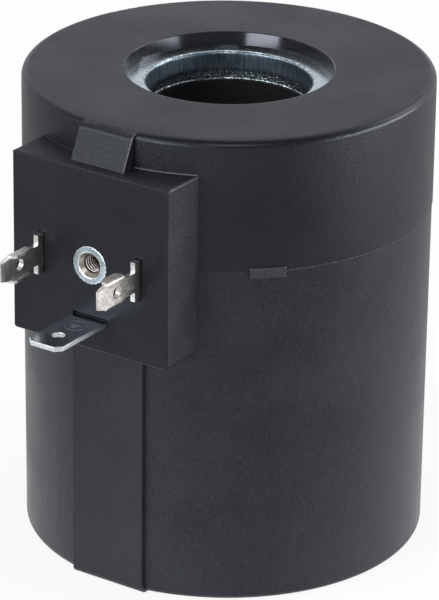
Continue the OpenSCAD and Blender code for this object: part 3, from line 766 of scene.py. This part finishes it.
def raised_line(points, half_width, height, closed):
    """Rings of a low round bead along level points."""
    steps = 8
    rings = []
    for i, point in enumerate(points):
        before = points[i - 1] if closed or i else point
        after = points[(i + 1) % len(points)] if closed or i < len(points) - 1 else point
        along = (after - before).normalized()
        aside = Vector((-along.y, along.x, 0))
        ring = []
        for step in range(steps):
            lean = 2 * math.pi * step / steps
            lift = Vector((0, 0, height * math.sin(lean)))
            ring.append(point + aside * half_width * math.cos(lean) + lift)
        rings.append(ring)
    return rings


def make_earth_sign():
    """The general earth sign in a ring, stamped in fine lines on the earth tab."""
    centre = Vector((0, FACE_Y - 3.5 * MM, EARTH_TOP))
    line_half = 0.08 * MM
    line_height = 0.03 * MM
    ring_r = 1.75 * MM
    ring_steps = 48
    # Bars of the sign as their distance behind the centre and half their length, and the stem's ends, in mm
    bars = ((0.1, 0.95), (-0.4, 0.62), (-0.9, 0.3))
    stem_back = 1.2
    stem_front = 0.1
    turns = [2 * math.pi * i / ring_steps for i in range(ring_steps)]
    lines = [([centre + Vector((math.cos(turn), math.sin(turn), 0)) * ring_r for turn in turns], True)]
    for back, half in bars:
        lines.append(([centre + Vector((side * half, back, 0)) * MM for side in (-1, 1)], False))
    lines.append(([centre + Vector((0, back, 0)) * MM for back in (stem_back, stem_front)], False))
    for i, (points, closed) in enumerate(lines):
        name = "earth_sign_%d" % (i + 1)
        mesh = grid_mesh(name, raised_line(points, line_half, line_height, closed), closed)
        add_piece(name, mesh, "blade_zinc", "zinc_steel")


def make_body():
    """The moulded body with rounds on the ramp, the wall plate, the strip and the block's face."""
    on_ramp = 0.22 * MM
    on_strip = 0.14 * MM
    on_face = 0.12 * MM
    on_plate = 0.1 * MM

    def choose(edge):
        middle = (edge.verts[0].co + edge.verts[1].co) / 2
        radius = math.hypot(middle.x, middle.y)
        if middle.z > BLOCK_TOP - MARGIN and abs(abs(middle.x) - RAMP_HALF) < TOUCH:
            return on_ramp
        if abs(middle.y - FACE_Y) < TOUCH:
            return on_face
        if PLATE_LOW < middle.z < PLATE_HIGH and middle.x > PLATE_LEFT and radius > WALL_R + MARGIN:
            return on_plate
        if edge.calc_length() > MIDDLE_H:
            return on_strip
        return 0

    widths = (on_ramp, on_strip, on_face, on_plate)
    rounded_copy("encapsulation", "black_moulding", "black_moulding", widths, choose)


def make_junction():
    """Fine bead where the round wall stands on the connector block, on both sides of the ramp."""
    bead = 0.15 * MM
    steps = 24
    first = math.acos(RAMP_HALF / WALL_R)
    last = math.acos((BLOCK_HALF - bead) / WALL_R)
    for name, side in (("junction_bead_right", 1), ("junction_bead_left", -1)):
        points = []
        for i in range(steps + 1):
            turn = first + (last - first) * i / steps
            points.append(Vector((side * WALL_R * math.cos(turn), -WALL_R * math.sin(turn), BLOCK_TOP)))
        mesh = grid_mesh(name, raised_line(points, bead, bead, False), False)
        add_piece(name, mesh, "black_moulding", "black_moulding")


def make_floor():
    """Pale floor that looks white to the camera and keeps the object's shadow;
    reflections see a painted pool of light on it around the object.
    """
    mesh = bpy.data.meshes.new("floor")
    signs = ((-1, -1), (1, -1), (1, 1), (-1, 1))
    corners = [(x * FLOOR_HALF, y * FLOOR_HALF, -FLOOR_DROP) for x, y in signs]
    mesh.from_pydata(corners, [], [(0, 1, 2, 3)])
    floor = bpy.data.objects.new("floor", mesh)
    bpy.context.scene.collection.objects.link(floor)
    material = bpy.data.materials.new("pale_floor")
    t = Tree(material)
    matt = t.node("ShaderNodeBsdfDiffuse")
    t.fill(matt, Color=FLOOR_COLOUR)
    away = t.vector("LENGTH", t.node("ShaderNodeTexCoord").outputs["Object"])
    # Painted pool of light, brighter close to the object, seen only in reflections
    light_pool = t.spread(away, *LIGHT_POOL_FADE, LIGHT_POOL_NEAR, LIGHT_POOL_FAR)
    strength = t.mix(t.seen_by("Is Glossy Ray"), 1.0, light_pool)
    glow = t.source("ShaderNodeEmission", (1, 1, 1), strength)
    share = t.times(t.seen_by("Is Camera Ray", "Is Glossy Ray", "Is Transmission Ray"), FLOOR_GLOW)
    t.output("ShaderNodeOutputMaterial", t.blend(share, matt.outputs[0], glow))
    mesh.materials.append(material)


def make_world():
    """White surroundings, dimmer in reflections at the room's front and ceiling, and a plain soft light."""
    world = bpy.data.worlds.new("studio")
    t = Tree(world)
    way = t.node("ShaderNodeTexCoord").outputs["Generated"]
    front = t.spread(t.vector("DOT_PRODUCT", way, ROOM_BACK), *FRONT_FADE, FRONT_DIM, 1.0)
    ceiling = t.spread(t.split(way)[2], *CEILING_FADE, 1.0, CEILING_DIM)
    light = t.source("ShaderNodeBackground", SOFT_COLOUR, SOFT_STRENGTH)
    mirrored = t.source("ShaderNodeBackground", ROOM_COLOUR, t.times(front, ceiling))
    white = t.source("ShaderNodeBackground", (1, 1, 1), 1.0)
    soft = t.blend(t.seen_by("Is Glossy Ray"), light, mirrored)
    around = t.blend(t.seen_by("Is Camera Ray", "Is Transmission Ray"), soft, white)
    t.output("ShaderNodeOutputWorld", around)
    bpy.context.scene.world = world


def around_object(azimuth, elevation, distance):
    """Place at a direction from +X and a height in degrees, as seen from the middle of the top face."""
    turn = math.radians(azimuth)
    lift = math.radians(elevation)
    level = math.cos(lift) * distance
    return Vector((level * math.cos(turn), level * math.sin(turn), BODY_H + math.sin(lift) * distance))


def make_lights():
    """Rectangular softboxes, turned to the middle of the top face."""
    target = Vector((0, 0, BODY_H))
    for name, (azimuth, elevation, distance, width, height, power) in SOFTBOXES.items():
        data = bpy.data.lights.new(name + "_softbox", "AREA")
        data.shape = "RECTANGLE"
        data.size = width
        data.size_y = height
        data.energy = power
        lamp = bpy.data.objects.new(name + "_softbox", data)
        lamp.location = around_object(azimuth, elevation, distance)
        lamp.rotation_mode = "QUATERNION"
        lamp.rotation_quaternion = (target - lamp.location).to_track_quat("-Z", "Y")
        bpy.context.scene.collection.objects.link(lamp)


def make_camera():
    """Camera that sees the object as the photograph does."""
    data = bpy.data.cameras.new("camera")
    data.sensor_width = CAMERA_SENSOR
    data.lens = CAMERA_LENS
    data.clip_start = CAMERA_NEAR
    camera = bpy.data.objects.new("camera", data)
    azimuth = math.radians(CAMERA_AZIMUTH)
    elevation = math.radians(CAMERA_ELEVATION)
    level = math.cos(elevation)
    back = Vector((math.sin(azimuth) * level, -math.cos(azimuth) * level, math.sin(elevation)))
    turn = (-back).to_track_quat("-Z", "Y").to_matrix()
    roll = Matrix.Rotation(math.radians(CAMERA_ROLL), 3, "Z")
    camera.matrix_world = Matrix.Translation(CAMERA_PLACE) @ (turn @ roll).to_4x4()
    bpy.context.scene.collection.objects.link(camera)
    bpy.context.scene.camera = camera


dress_nodes()
make_washer("top_pole_washer")
make_washer("bottom_pole_washer")
make_insert()
make_tabs()
make_earth_sign()
make_body()
make_junction()
make_floor()
make_world()
make_lights()
make_camera()
bpy.context.scene.view_settings.view_transform = "Standard"

bpy.context.view_layer.update()
